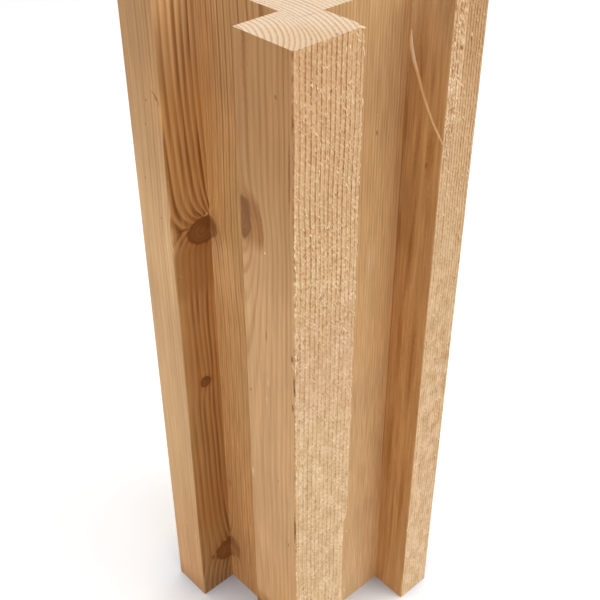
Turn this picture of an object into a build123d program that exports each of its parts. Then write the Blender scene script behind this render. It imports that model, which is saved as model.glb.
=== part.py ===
"""Grooved softwood corner post: one squared timber that takes wall boards on two adjacent sides."""

import os

from build123d import *

# Overall size of the timber, in millimetres
side = 145.0
height = 500.0

# Board grooves: one in the left front face and one in the right front face.
# A land is what stays of its face between the front arris and the groove.
groove_width = 68.0
groove_depth = 30.0
left_land = 44.0
right_land = 48.0

# Milled edges: arrises lightly broken, groove corners left by the cutter's rounded tip
arris_radius = 0.8
cutter_tip_radius = 0.5

# Wood lost from the arrises. Each row is a distance below the top end, the width lost
# from the right front face, and the width lost from the face round the corner.
knocked_top_corner = [
    (-2.0, 7.4, 10.8),
    (0.0, 5.6, 8.2),
    (6.0, 0.9, 1.2),
]
worn_right_arris = [
    (343.0, 1.0, 0.9),
    (358.0, 8.2, 3.2),
    (388.0, 8.8, 3.6),
    (418.0, 7.4, 3.2),
    (448.0, 5.0, 2.4),
    (478.0, 1.0, 0.9),
]
torn_front_arris = [
    (179.0, 0.9, 1.0),
    (187.0, 3.1, 3.9),
    (195.0, 2.4, 2.8),
    (203.0, 0.9, 1.0),
]
split_front_arris = [
    (310.0, 0.9, 0.9),
    (321.0, 1.2, 1.9),
    (332.0, 1.2, 1.8),
    (343.0, 0.9, 0.9),
]
# How far the broken surface is hollowed towards the corner's inside, as a share of the widths
hollow = 0.12
clear_of_timber = 2.0

front_x = -side / 2
front_y = -side / 2
groove_start_x = front_x + right_land
groove_start_y = front_y + left_land
close_to_face = 0.01

# Each loss with the arris that it is on, and the way from that arris into the timber along X
losses = [
    (groove_start_x, -1, knocked_top_corner),
    (groove_start_x, -1, worn_right_arris),
    (front_x, 1, torn_front_arris),
    (front_x, 1, split_front_arris),
]


def lies_outside(corner):
    """Whether a corner of the section is on the square's outline."""
    return max(abs(corner.X), abs(corner.Y)) > side / 2 - close_to_face


def at_groove_floor(corner):
    """Whether a corner of the section is at the bottom of a groove."""
    return max(abs(corner.X), abs(corner.Y)) < side / 2 - 2 * arris_radius


def lost_outline(arris_x, inward, across, around):
    """The wood missing at one height, drawn past the timber on its two open sides."""
    outside_x = arris_x - inward * clear_of_timber
    outside_y = front_y - clear_of_timber
    on_face = (arris_x + inward * across, front_y)
    round_corner = (arris_x, front_y + around)
    pull = (arris_x + inward * across * hollow, front_y + around * hollow)
    with BuildSketch() as outline:
        with BuildLine():
            Polyline(
                on_face,
                (on_face[0], outside_y),
                (outside_x, outside_y),
                (outside_x, round_corner[1]),
                round_corner,
            )
            Bezier(round_corner, pull, on_face)
        make_face()
    return outline.sketch


with BuildPart() as post:
    # Squared timber with both grooves, as one milled section
    with BuildSketch() as section:
        Rectangle(side, side)
        with Locations((front_x, groove_start_y)):
            Rectangle(groove_depth, groove_width, align=(Align.MIN, Align.MIN), mode=Mode.SUBTRACT)
        with Locations((groove_start_x, front_y)):
            Rectangle(groove_width, groove_depth, align=(Align.MIN, Align.MIN), mode=Mode.SUBTRACT)
        fillet(section.vertices().filter_by(lies_outside), radius=arris_radius)
        fillet(section.vertices().filter_by(at_groove_floor), radius=cutter_tip_radius)
    extrude(amount=height)

    # Breaks and wear
    for arris_x, inward, rows in losses:
        for below_top, across, around in rows:
            with BuildSketch(Plane.XY.offset(height - below_top)):
                add(lost_outline(arris_x, inward, across, around))
        loft(mode=Mode.SUBTRACT)

post.part.label = "corner_post"

os.makedirs("parts", exist_ok=True)
export_step(post.part, "parts/corner_post.step")
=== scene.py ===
"""Squared softwood corner post with a board groove in two of its faces, and the studio it stands in."""
import math
import random

import bmesh
import bpy
from bpy.props import FloatProperty, FloatVectorProperty, IntProperty, PointerProperty
from bpy.types import Operator, Panel, PropertyGroup
from mathutils import Matrix, Vector, noise


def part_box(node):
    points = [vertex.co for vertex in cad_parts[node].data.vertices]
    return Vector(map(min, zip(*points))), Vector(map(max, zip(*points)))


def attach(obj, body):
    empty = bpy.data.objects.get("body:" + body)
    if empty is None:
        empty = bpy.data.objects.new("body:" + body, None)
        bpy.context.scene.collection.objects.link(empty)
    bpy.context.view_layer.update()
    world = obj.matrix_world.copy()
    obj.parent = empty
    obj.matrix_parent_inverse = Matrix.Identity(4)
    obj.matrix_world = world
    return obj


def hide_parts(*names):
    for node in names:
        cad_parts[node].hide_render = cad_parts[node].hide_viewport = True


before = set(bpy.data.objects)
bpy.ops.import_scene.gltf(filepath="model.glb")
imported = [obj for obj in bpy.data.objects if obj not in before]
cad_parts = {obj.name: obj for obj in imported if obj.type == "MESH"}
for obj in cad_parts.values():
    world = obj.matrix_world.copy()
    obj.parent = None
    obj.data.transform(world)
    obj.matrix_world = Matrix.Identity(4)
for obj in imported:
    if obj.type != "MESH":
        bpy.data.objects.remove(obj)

bl_info = {
    "name": "Corner post",
    "version": (1, 0, 0),
    "blender": (4, 5, 0),
    "location": "View3D > Sidebar > Corner post",
    "description": "Builds a grooved softwood corner post with its grain, saw marks and wear",
    "category": "Add Mesh",
}

cad_low, cad_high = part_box("corner_post")
mm = 0.001

# The heart of the tree lies outside the timber. All lengths below are in millimetres.
heart_x = -112.5
heart_y = -24.5
ring_width = 2.35

# Slow wander of the heart with height: sway, wave length, phase.
sway_x = [(0.35, 31.0, 0.4), (0.16, 11.1, 2.0)]
sway_y = [(0.45, 37.0, 1.1), (0.22, 13.7, 0.3)]

# The outermost rings, between these distances from the heart, wander more.
outer_rings = (120.0, 150.0)
outer_sway = [(0.30, 14.5, 0.96), (0.20, 6.0, 2.29)]

# Wider rings near these radii: rings lost, radius, half width.
wide_rings = [(1.05, 47.0, 9.0), (1.90, 85.0, 20.0)]
ring_start = 0.47
summer_part = 0.68

# Branches: direction from the heart in degrees, height, radius, stretch, push on the rings,
# reach of the push above, below, to the left and to the right, where the branch starts and ends,
# unevenness of its outline, and half width and half height of the brown wood round it.
branches = [
    (45.0, 342.5, 8.4, 1.1, 3.8, 60.0, 9.0, 15.0, 7.0, 30.0, 260.0, 0.35, 0.0, 0.0),
    (45.0, 347.5, 0.01, 1.0, 10.5, 9.0, 5.0, 16.0, 6.0, 30.0, 260.0, 0.35, 0.0, 0.0),
    (-10.0, 394.0, 5.8, 2.2, 6.0, 400.0, 70.0, 25.0, 25.0, 30.0, 62.0, 0.7, 0.0, 0.0),
    (-10.0, 387.0, 0.01, 1.0, 9.0, 14.0, 45.0, 15.0, 15.0, 30.0, 62.0, 0.5, 16.3, 32.0),
    (48.5, 220.5, 3.3, 1.4, 2.6, 26.0, 12.0, 6.0, 4.0, 30.0, 260.0, 0.9, 0.0, 0.0),
    (43.0, 37.0, 9.5, 1.2, 9.0, 38.0, 14.0, 14.0, 7.0, 30.0, 260.0, 0.9, 0.0, 0.0),
    (-12.0, 56.0, 6.5, 1.25, 4.5, 40.0, 22.0, 15.0, 15.0, 30.0, 62.0, 0.6, 15.0, 25.0),
    (52.0, 270.0, 0.01, 1.0, 2.2, 45.0, 80.0, 30.0, 10.0, 30.0, 260.0, 0.5, 0.0, 0.0),
]
branch_sockets = [
    "Direction",
    "Height",
    "Radius",
    "Stretch",
    "Push",
    "Reach above",
    "Reach below",
    "Reach left",
    "Reach right",
    "Starts",
    "Ends",
    "Uneven",
    "Ring broad",
    "Ring tall",
]

# A branch takes this long to come up where it starts and to die away where it ends.
branch_start = 6.0
branch_end = 14.0


def clamp(value, low=0.0, high=1.0):
    """Keeps a value between two others."""
    return max(low, min(high, value))


def smooth(value, low, high):
    """Smooth step from 0 to 1 as value goes from low to high."""
    t = clamp((value - low) / (high - low))
    return t * t * (3.0 - 2.0 * t)


def swayed(start, sway, z):
    """A number that wanders with height."""
    return start + sum(size * math.sin(z / wave + phase) for size, wave, phase in sway)


def pushed_out(x, y, z):
    """How far the branches push the rings out at a point."""
    total = 0.0
    for turn, height, radius, stretch, push, up, down, left, right, starts, ends, *look in branches:
        angle = math.radians(turn)
        out = x * math.cos(angle) + y * math.sin(angle)
        side = y * math.cos(angle) - x * math.sin(angle)
        above = z - height
        reach = up if above > 0.0 else down
        width = left if side > 0.0 else right
        alive = smooth(out, starts - branch_start, starts) * (1.0 - smooth(out, ends, ends + branch_end))
        total += push * math.exp(-math.hypot(above / reach, side / width)) * alive
    return total


def ring_number(x, y, z):
    """Counts growth rings out from the heart at a point of the timber."""
    x -= heart_x
    y -= heart_y
    across = swayed(x, sway_x, z) + swayed(0.0, outer_sway, z) * smooth(x, *outer_rings)
    along = swayed(y, sway_y, z)
    radius = math.hypot(across, along) - pushed_out(x, y, z)
    lost = sum(rings * math.tanh((radius - middle) / half) for rings, middle, half in wide_rings)
    return radius / ring_width - lost + ring_start


def measure(name, description, default, **limits):
    """A length that the user may change."""
    return FloatProperty(name=name, description=description, default=default, unit="LENGTH", **limits)


def paint(name, description, default):
    """A colour that the user may change."""
    return FloatVectorProperty(
        name=name,
        description=description,
        default=default,
        size=3,
        min=0.0,
        max=1.0,
        subtype="COLOR",
    )


class PostSizes(PropertyGroup):
    """Sizes of the post and of its wear."""

    side: measure("Side", "Width of the square section", cad_high[0] - cad_low[0], min=0.05)
    height: measure("Height", "Length of the post", cad_high[2] - cad_low[2], min=0.1)
    groove_width: measure("Groove width", "Width of both board grooves", 0.068, min=0.01)
    groove_depth: measure("Groove depth", "Depth of both board grooves", 0.030, min=0.005)
    left_land: measure("Left land", "Flat between the front arris and the left groove", 0.044, min=0.01)
    right_land: measure("Right land", "Flat between the front arris and the right groove", 0.048, min=0.01)
    arris_radius: measure("Arris radius", "Rounding of the outer corners", 0.0008, min=0.0001)
    cutter_radius: measure("Cutter radius", "Rounding left in the groove corners", 0.0005, min=0.0001)
    row_height: measure("Row height", "Height of the mesh rows on the planed faces", 0.00278, min=0.001)
    saw_depth: measure("Saw depth", "Depth of the ridges on the sawn faces", 0.0006, min=0.0, max=0.002)
    tears: IntProperty(
        name="Tears",
        description="Number of torn places on the sawn faces",
        default=520,
        min=0,
        max=2000,
    )


class PostColours(PropertyGroup):
    """Colours of the timber."""

    spring_wood: paint("Spring wood", "Pale part of each ring on the planed faces", (0.655, 0.40, 0.198))
    summer_wood: paint("Summer wood", "Dark part of each ring on the planed faces", (0.485, 0.245, 0.085))
    left_floor: paint("Left groove floor", "Pale colour of the left groove's floor", (0.58, 0.315, 0.12))
    right_floor: paint("Right groove floor", "Pale colour of the right groove's floor", (0.60, 0.355, 0.157))
    floor_lines: paint("Groove floor lines", "Dark growth rings on the groove floors", (0.37, 0.165, 0.05))
    wall_wood: paint("Groove wall", "Pale colour of the walls that the cutter rubbed", (0.62, 0.325, 0.120))
    wall_lines: paint("Groove wall lines", "Dark growth rings on the groove walls", (0.26, 0.095, 0.024))
    far_wall: paint("Far groove wall", "Pale colour of the right groove's far wall", (0.555, 0.295, 0.108))
    sawn_face: paint("Sawn face", "Colour of the rough sawn faces", (0.672, 0.465, 0.273))
    torn_fibre: paint("Torn fibre", "Pale colour of torn fibres and splinters", (0.86, 0.68, 0.45))
    end_grain: paint("End grain", "Pale colour of the sawn ends", (0.79, 0.61, 0.435))
    knot: paint("Knot", "Colour of the knots in the grooves", (0.25, 0.10, 0.027))
    knot_rim: paint("Knot rim", "Dark outline of the knots in the grooves", (0.235, 0.088, 0.022))
    planed_knot: paint("Planed knot", "Colour of the knots on the planed faces", (0.222, 0.093, 0.027))


nowhere = (0.0, 0.0, 0.0)
white = (1.0, 1.0, 1.0, 1.0)


def colour(values):
    """A colour with nothing see-through."""
    return (values[0], values[1], values[2], 1.0)


class Wiring:
    """Adds nodes to one node tree, each with its inputs wired or set."""

    def __init__(self, tree):
        self.tree = tree
        self.column = 0

    def add(self, kind, inputs=(), output=0, **settings):
        """Adds a node. Inputs are (name or number, value or socket) pairs."""
        made = self.tree.nodes.new(kind)
        made.location = (self.column * 20.0, -(self.column % 12) * 60.0)
        self.column += 1
        for name, value in settings.items():
            setattr(made, name, value)
        for key, value in inputs:
            self.feed(made.inputs[key], value)
        return made.outputs[output]

    def feed(self, socket, value):
        """Wires a socket to an input, or sets the input to a value."""
        if isinstance(value, bpy.types.NodeSocket):
            self.tree.links.new(value, socket)
        else:
            socket.default_value = value

    def group(self, name, inputs):
        """Places a node group and returns all its outputs."""
        return self.add("ShaderNodeGroup", inputs, node_tree=bpy.data.node_groups[name]).node.outputs

    def math(self, operation, *values):
        return self.add("ShaderNodeMath", list(enumerate(values)), operation=operation)

    def chain(self, operation, values):
        """Applies an operation to the values one after another."""
        total = values[0]
        for value in values[1:]:
            total = self.math(operation, total, value)
        return total

    def sum(self, *values):
        return self.chain("ADD", values)

    def times(self, *values):
        return self.chain("MULTIPLY", values)

    def minus(self, first, second):
        return self.math("SUBTRACT", first, second)

    def less(self, mask, amount=1.0):
        """1, lowered by the amount where the mask is 1."""
        return self.math("MULTIPLY_ADD", mask, -amount, 1.0)

    def fade(self, value, low, high, start=0.0, end=1.0):
        """Smooth step from start to end as value goes from low to high."""
        return self.add(
            "ShaderNodeMapRange",
            [(0, value), (1, low), (2, high), (3, start), (4, end)],
            interpolation_type="SMOOTHSTEP",
        )

    def drop(self, value, low, high):
        """Smooth step from 1 to 0 as value goes from low to high."""
        return self.fade(value, low, high, 1.0, 0.0)

    def within(self, value, start, low, high, end):
        """1 from low to high, and 0 before start and after end."""
        return self.times(self.fade(value, start, low), self.drop(value, high, end))

    def vectors(self, operation, first, second):
        return self.add("ShaderNodeVectorMath", [(0, first), (1, second)], operation=operation)

    def split(self, value):
        """The three parts of a vector."""
        return self.add("ShaderNodeSeparateXYZ", [(0, value)]).node.outputs

    def turned(self, value, turn):
        """Turns a place about the origin."""
        return self.add(
            "ShaderNodeVectorRotate", [("Vector", value), ("Rotation", turn)], rotation_type="EULER_XYZ"
        )

    def shifted(self, value, axis, amount):
        """Moves a place along one axis by an amount that changes over the surface."""
        return self.vectors("ADD", value, self.add("ShaderNodeCombineXYZ", [(axis, amount)]))

    def noise(self, place, scale, detail=2.0, roughness=0.5, shift=nowhere):
        """Noise with a size of its own along each axis."""
        sized = self.add("ShaderNodeMapping", [("Vector", place), ("Location", shift), ("Scale", scale)])
        look = [("Scale", 1.0), ("Detail", detail), ("Roughness", roughness)]
        return self.add("ShaderNodeTexNoise", [("Vector", sized)] + look)

    def blend(self, factor, first, second, mode="MIX"):
        """Mixes two colours, or multiplies the first by the second where the factor is 1."""
        return self.add(
            "ShaderNodeMix",
            [(0, factor), (6, first), (7, second)],
            output=2,
            data_type="RGBA",
            blend_type=mode,
        )


def new_group(name, inputs, outputs):
    """Makes an empty node group. Inputs with three numbers are vectors, and every output is a number."""
    tree = bpy.data.node_groups.new(name, "ShaderNodeTree")
    for label, default in inputs:
        kind = "NodeSocketVector" if isinstance(default, tuple) else "NodeSocketFloat"
        socket = tree.interface.new_socket(name=label, in_out="INPUT", socket_type=kind)
        socket.default_value = default
    for label in outputs:
        tree.interface.new_socket(name=label, in_out="OUTPUT", socket_type="NodeSocketFloat")
    start = tree.nodes.new("NodeGroupInput")
    end = tree.nodes.new("NodeGroupOutput")
    return Wiring(tree), start.outputs, end.inputs


def make_branch_group():
    """One branch that grew out from the heart: its knot, and how far it pushed the rings out."""
    w, given, result = new_group(
        "branch",
        [("From heart", nowhere)] + [(name, 1.0) for name in branch_sockets],
        ["Pushed", "Core", "Rim", "Halo", "Crescent", "Spread"],
    )
    x, y, z = w.split(given["From heart"])
    direction = w.math("RADIANS", given["Direction"])
    cosine = w.math("COSINE", direction)
    sine = w.math("SINE", direction)
    out = w.sum(w.times(x, cosine), w.times(y, sine))
    aside = w.minus(w.times(y, cosine), w.times(x, sine))
    above = w.minus(z, given["Height"])

    def reach_by_side(distance, positive, negative):
        side = w.math("GREATER_THAN", distance, 0.0)
        return w.sum(w.times(side, given[positive]), w.times(w.less(side), given[negative]))

    def away(tall, broad):
        return w.math("SQRT", w.sum(w.math("POWER", tall, 2.0), w.math("POWER", broad, 2.0)))

    far = w.math("DIVIDE", above, reach_by_side(above, "Reach above", "Reach below"))
    wide = w.math("DIVIDE", aside, reach_by_side(aside, "Reach left", "Reach right"))
    fall = w.math("EXPONENT", w.times(away(far, wide), -1.0))
    starts = given["Starts"]
    ends = given["Ends"]
    alive = w.within(out, w.minus(starts, branch_start), starts, ends, w.sum(ends, branch_end))
    w.feed(result["Pushed"], w.times(given["Push"], fall, alive))

    uneven = w.noise(given["From heart"], (0.21, 0.21, 0.15), 3.0, 0.6)
    uneven = w.times(w.minus(uneven, 0.5), given["Uneven"])
    tall = w.math("DIVIDE", above, w.times(given["Radius"], given["Stretch"]))
    broad = w.math("DIVIDE", aside, given["Radius"])
    spread = w.sum(away(tall, broad), uneven)
    inside = w.drop(spread, 0.82, 0.98)
    outline = w.within(spread, 0.74, 0.86, 0.98, 1.12)
    slope = w.math("MULTIPLY_ADD", broad, -0.65, w.times(tall, 0.75))
    shaded = w.times(w.fade(slope, 0.0, 0.45), inside)
    w.feed(result["Core"], w.times(inside, alive))
    w.feed(result["Rim"], w.times(w.math("MAXIMUM", outline, shaded), alive))
    w.feed(result["Halo"], w.times(w.drop(spread, 1.0, 2.1), alive))
    w.feed(result["Spread"], spread)

    tall = w.math("DIVIDE", above, given["Ring tall"])
    broad = w.math("DIVIDE", aside, given["Ring broad"])
    around = w.math("MULTIPLY_ADD", uneven, 0.25, away(tall, broad))
    gap = w.less(w.within(around, 0.36, 0.44, 0.54, 0.66), 0.15)
    outer = w.fade(around, 0.62, 0.86, 0.76, 1.0)
    body = w.times(w.drop(around, 0.90, 1.04), gap, outer)
    w.feed(result["Crescent"], w.times(body, alive, w.within(tall, -0.44, -0.06, 0.45, 0.90)))


def make_rings_group():
    """Growth rings round the heart, pushed out round every branch, with the knots themselves."""
    w, given, result = new_group(
        "growth rings",
        [("Millimetres", nowhere)],
        ["Summer", "Broad", "Sharp", "Lines", "Core", "Rim", "Halo", "Crescent", "Knot rings"],
    )
    from_heart = w.vectors("SUBTRACT", given["Millimetres"], (heart_x, heart_y, 0.0))
    x, y, z = w.split(from_heart)

    def swaying(start, sway):
        total = start
        for size, wave, phase in sway:
            angle = w.math("MULTIPLY_ADD", z, 1.0 / wave, phase)
            total = w.math("MULTIPLY_ADD", w.math("SINE", angle), size, total)
        return total

    across = w.sum(swaying(x, sway_x), w.times(swaying(0.0, outer_sway), w.fade(x, *outer_rings)))
    along = swaying(y, sway_y)
    radius = w.math("SQRT", w.sum(w.times(across, across), w.times(along, along)))

    ways = {
        "Pushed": "ADD",
        "Core": "MAXIMUM",
        "Rim": "MAXIMUM",
        "Halo": "MAXIMUM",
        "Crescent": "MAXIMUM",
        "Spread": "MINIMUM",
    }
    total = dict.fromkeys(ways, 0.0)
    total["Spread"] = 100.0
    for branch in branches:
        out = w.group("branch", [("From heart", from_heart)] + list(zip(branch_sockets, branch)))
        has_brown_wood = branch[-1] > 0.0
        for name, operation in ways.items():
            if has_brown_wood or name != "Crescent":
                total[name] = w.math(operation, out[name], total[name])
    for name in ("Core", "Rim", "Halo", "Crescent"):
        w.feed(result[name], total[name])
    wave = w.math("SINE", w.times(total["Spread"], 17.0))
    w.feed(result["Knot rings"], w.math("MULTIPLY_ADD", wave, 0.5, 0.5))

    radius = w.minus(radius, total["Pushed"])
    ring = w.math("MULTIPLY_ADD", radius, 1.0 / ring_width, ring_start)
    for lost, middle, half in wide_rings:
        bend = w.math("TANH", w.math("DIVIDE", w.minus(radius, middle), half))
        ring = w.math("MULTIPLY_ADD", bend, -lost, ring)
    counted = w.math("ADD", ring, summer_part)
    part = w.math("FRACT", counted)
    each = w.add("ShaderNodeTexWhiteNoise", [("W", w.math("FLOOR", counted))], noise_dimensions="1D")
    strength = w.math("MULTIPLY_ADD", each, 0.5, 0.5)
    soft = w.within(part, 0.22, 0.66, 0.70, 0.92)
    broad = w.within(part, 0.02, 0.60, 0.72, 0.98)
    sharp = w.within(part, 0.46, 0.70, 0.74, 0.82)
    thin = w.within(part, 0.50, 0.66, 0.72, 0.84)
    second = w.within(part, 0.08, 0.16, 0.18, 0.28)
    w.feed(result["Summer"], w.times(soft, strength))
    w.feed(result["Broad"], w.times(broad, strength))
    w.feed(result["Sharp"], w.math("MULTIPLY_ADD", soft, 0.35, w.times(sharp, strength, 0.75)))
    w.feed(result["Lines"], w.math("MULTIPLY_ADD", second, 0.45, w.times(thin, strength)))


def make_fibre_group():
    """Fine streaks, bands and wide patches along the grain."""
    w, given, result = new_group("fibres", [("Millimetres", nowhere)], ["Streaks", "Bands", "Patches"])
    place = given["Millimetres"]
    w.feed(result["Streaks"], w.noise(place, (1.6, 1.6, 0.035), 3.0, 0.6))
    w.feed(result["Bands"], w.noise(place, (0.45, 0.45, 0.012), 2.0, 0.55))
    w.feed(result["Patches"], w.noise(place, (0.05, 0.05, 0.016), 3.0, 0.55))


def make_speck_group():
    """One small mark at a stated place, with a soft uneven edge."""
    w, given, result = new_group(
        "speck",
        [
            ("Millimetres", nowhere),
            ("Centre", nowhere),
            ("Turn", nowhere),
            ("Size", (1.0, 1.0, 1.0)),
            ("Softness", 0.5),
            ("Uneven", 0.5),
        ],
        ["Mask"],
    )
    offset = w.vectors("SUBTRACT", given["Millimetres"], given["Centre"])
    shrunk = w.vectors("DIVIDE", w.turned(offset, given["Turn"]), given["Size"])
    away = w.add("ShaderNodeVectorMath", [(0, shrunk)], output=1, operation="LENGTH")
    away = w.math("MULTIPLY_ADD", w.minus(given["Uneven"], 0.5), 0.9, away)
    w.feed(result["Mask"], w.drop(away, w.minus(1.0, given["Softness"]), 1.0))


def make_fuzz_group():
    """Short torn fibres on a sawn face, leaning one way across the grain: pale tufts that are partly painted
    highlights, and painted shade in the pits between them.
    """
    w, given, result = new_group("saw fuzz", [("Millimetres", nowhere)], ["Light", "Pit shade", "Relief"])
    place = given["Millimetres"]
    lean = 0.7
    long = w.noise(w.turned(place, (0.0, lean, 0.0)), (0.85, 1.0, 0.27))
    short = w.noise(place, (1.15, 1.0, 0.55), shift=(3.0, 0.0, 7.0))
    both = w.math("MULTIPLY_ADD", short, 0.5, w.times(long, 0.5))
    strong = w.fade(w.noise(place, (0.11, 0.1, 0.05)), 0.35, 0.65, 0.55, 1.0)
    w.feed(result["Light"], w.times(w.fade(both, 0.53, 0.62), strong))
    w.feed(result["Pit shade"], w.times(w.drop(both, 0.36, 0.46), strong))
    w.feed(result["Relief"], both)


class Finish(Wiring):
    """A finish of the timber under way, with its colour so far and its place in millimetres."""

    def __init__(self, name):
        self.material = bpy.data.materials.new(name)
        self.material.use_nodes = True
        super().__init__(self.material.node_tree)
        position = self.add("ShaderNodeTexCoord", output=3)
        self.place = self.vectors("MULTIPLY", position, (1.0 / mm,) * 3)
        self.x, self.y, self.z = self.split(self.place)
        self.base = None

    def read_grain(self, place):
        """Reads the fibres, and the growth rings at a place that may wander from the true one."""
        self.rings = self.group("growth rings", [("Millimetres", place)])
        self.fibres = self.group("fibres", [("Millimetres", self.place)])

    def spots(self, across, along, detail=2.0, roughness=0.6):
        """Uneven patches, by how close they lie across and along the grain."""
        return self.noise(self.place, (across, across, along), detail, roughness)

    def shade(self, tone):
        """Multiplies the whole colour by a tone that changes over the surface."""
        self.base = self.blend(1.0, self.base, tone, "MULTIPLY")

    def tint(self, mask, tone):
        """Multiplies the colour by one tone where the mask is 1."""
        self.base = self.blend(mask, self.base, colour(tone), "MULTIPLY")

    def cover(self, mask, other):
        """Lays another colour over this one where the mask is 1."""
        self.base = self.blend(mask, self.base, other)

    def timber(self, spring, summer, contrast, streaks, bands, lines="Summer", place=None, share=1.0):
        """Colour of cut timber: rings, fibres and patches. The contrast is given for the foot and the top."""
        self.read_grain(self.place if place is None else place)
        strength = self.fade(self.z, 200.0, 430.0, *contrast)
        self.base = colour(spring)
        self.cover(self.times(self.rings[lines], strength, share), colour(summer))
        for name, size in (("Streaks", streaks), ("Bands", bands)):
            low = colour([1.0 - size * part for part in (1.0, 1.3, 1.6)])
            high = colour([1.0 + size * part for part in (1.0, 1.3, 1.6)])
            self.shade(self.blend(self.fade(self.fibres[name], 0.3, 0.7), low, high))
        self.shade(self.fade(self.fibres["Patches"], 0.3, 0.7, 0.94, 1.05))

    def height_light_and_tone(self, start, end, tone):
        """Tints the colour more and more from one height to another, up or down: partly the timber's own tone
        and partly painted light and shade, such as the floor's bounce light towards the foot, shade towards
        the top and a contact shadow at the very foot.
        """
        low, high = sorted((start, end))
        uneven = self.minus(self.spots(0.03, 0.012, 2.0, 0.5), 0.5)
        level = self.math("MULTIPLY_ADD", uneven, (high - low) * 0.7, self.z)
        mask = self.fade(level, low, high) if start < end else self.drop(level, low, high)
        self.tint(mask, tone)

    def mark(self, marks, axis, level):
        """Lays small marks on the face that lies at a level of one axis, each with a soft uneven edge."""
        uneven = self.spots(0.9, 0.35)
        for across, up, lean, broad, tall, softness, strength, tone in marks:
            centre = [across, up]
            centre.insert(axis, level)
            turn = [0.0, 0.0, 0.0]
            turn[axis] = math.radians(lean)
            size = (broad, tall, 4.0) if axis == 2 else (broad, broad, tall)
            inputs = zip(
                ("Millimetres", "Centre", "Turn", "Size", "Softness", "Uneven"),
                (self.place, centre, turn, size, softness, uneven),
            )
            self.tint(self.times(self.group("speck", inputs)["Mask"], strength), tone)

    def knots(self, core, rim, strength, ringed=0.0):
        """Lays the knots and their dark outlines over the grain."""
        rings = self.rings
        light = colour([part * 1.5 for part in core])
        inside = self.blend(self.times(rings["Knot rings"], 0.45), colour(core), light)
        self.tint(self.times(rings["Halo"], strength, 0.5), (0.84, 0.70, 0.56))
        self.tint(self.times(rings["Crescent"], ringed), (0.60, 0.42, 0.23))
        self.cover(self.times(rings["Core"], strength), inside)
        self.cover(self.times(rings["Rim"], strength), colour(rim))

    def finish(self, roughness, height, depth):
        """Joins the colour, a roughness and a height to the material's own shader."""
        shader = self.tree.nodes["Principled BSDF"]
        bump = self.add("ShaderNodeBump", [("Strength", 1.0), ("Distance", depth), ("Height", height)])
        self.feed(shader.inputs["Base Color"], self.base)
        self.feed(shader.inputs["Roughness"], roughness)
        self.feed(shader.inputs["Normal"], bump)
        shader.inputs["Specular IOR Level"].default_value = 0.25

    def finish_cut(self, low, high, fibre_relief, ring_relief):
        """Ends a finish that a cutter left, between two roughnesses, with fibres and rings in low relief."""
        streaks = self.fibres["Streaks"]
        height = self.sum(self.times(streaks, fibre_relief), self.times(self.rings["Summer"], ring_relief))
        self.finish(self.fade(streaks, 0.2, 0.8, low, high), height, 0.00008)


# Levels of the faces that carry marks, each along the axis across it.
outer_face = -72.5
groove_floor = -42.5
left_groove_wall = 39.5
right_groove_wall = 43.5
top_end = 500.0

# Small marks: place across and along the face (on the end grain x and y), lean in degrees,
# half width, half height, softness, strength and tint.
dark = (0.52, 0.42, 0.34)
brown = (0.74, 0.62, 0.52)
pale = (1.20, 1.30, 1.45)
grey = (0.62, 0.68, 0.84)
band = (0.76, 0.64, 0.48)
light_band = (1.12, 1.17, 1.24)
planed_marks = [
    (43.9, 438.3, 38.0, 1.3, 5.0, 0.6, 1.0, (0.42, 0.33, 0.27)),
    (45.2, 477.0, 0.0, 1.3, 42.0, 0.8, 0.8, (0.84, 0.72, 0.62)),
    (53.5, 434.0, 0.0, 1.0, 1.2, 0.6, 0.8, dark),
    (56.2, 418.0, 0.0, 0.8, 1.2, 0.6, 0.7, dark),
    (62.1, 380.0, 0.0, 0.9, 1.2, 0.6, 0.7, dark),
    (49.3, 357.0, 0.0, 0.8, 1.4, 0.6, 0.7, dark),
    (45.5, 318.0, 0.0, 1.3, 130.0, 0.9, 0.7, pale),
    (54.5, 75.0, 0.0, 1.0, 2.0, 0.6, 0.8, pale),
    (46.0, 66.0, 0.0, 0.9, 2.2, 0.6, 0.8, pale),
    (-37.5, 505.0, 0.0, 4.2, 75.0, 0.9, 1.0, (0.83, 0.75, 0.69)),
    (-32.0, 475.0, 0.0, 4.5, 65.0, 0.9, 0.8, (0.86, 0.82, 0.76)),
    (-67.0, 505.0, 0.0, 4.0, 60.0, 0.9, 0.8, (0.87, 0.84, 0.80)),
    (-68.9, 432.0, 0.0, 1.0, 26.0, 0.7, 1.0, (0.66, 0.55, 0.44)),
    (-71.3, 464.0, 0.0, 0.8, 13.0, 0.7, 0.9, (0.62, 0.50, 0.39)),
    (-59.1, 473.0, 0.0, 1.1, 1.8, 0.6, 0.8, dark),
    (-48.5, 378.0, 0.0, 0.8, 1.0, 0.5, 1.0, (1.5, 1.8, 2.3)),
    (-47.5, 320.0, 0.0, 0.8, 5.5, 0.6, 0.8, dark),
    (-55.5, 206.0, 0.0, 0.8, 1.8, 0.6, 0.8, dark),
    (-64.7, 152.0, 0.0, 0.8, 2.4, 0.6, 0.8, dark),
    (-31.5, 269.0, 0.0, 0.8, 1.8, 0.6, 0.8, dark),
    (-48.5, 285.0, 0.0, 1.6, 5.0, 0.9, 0.8, pale),
    (-46.5, 270.0, 0.0, 1.4, 4.0, 0.9, 0.8, pale),
    (-65.3, 191.0, 0.0, 2.6, 10.0, 0.8, 0.8, (0.86, 0.94, 1.12)),
    (-71.5, 295.5, 4.0, 0.9, 9.5, 0.6, 1.0, (0.45, 0.34, 0.25)),
    (-69.9, 278.5, 0.0, 1.0, 4.0, 0.6, 1.0, (0.45, 0.34, 0.25)),
    (-69.8, 315.8, 0.0, 1.1, 3.4, 0.6, 1.0, (0.50, 0.38, 0.28)),
    (-71.2, 172.5, 0.0, 0.8, 15.5, 0.4, 1.0, (0.34, 0.26, 0.2)),
    (-30.0, 195.0, 0.0, 1.8, 5.0, 0.6, 0.9, pale),
]
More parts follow.
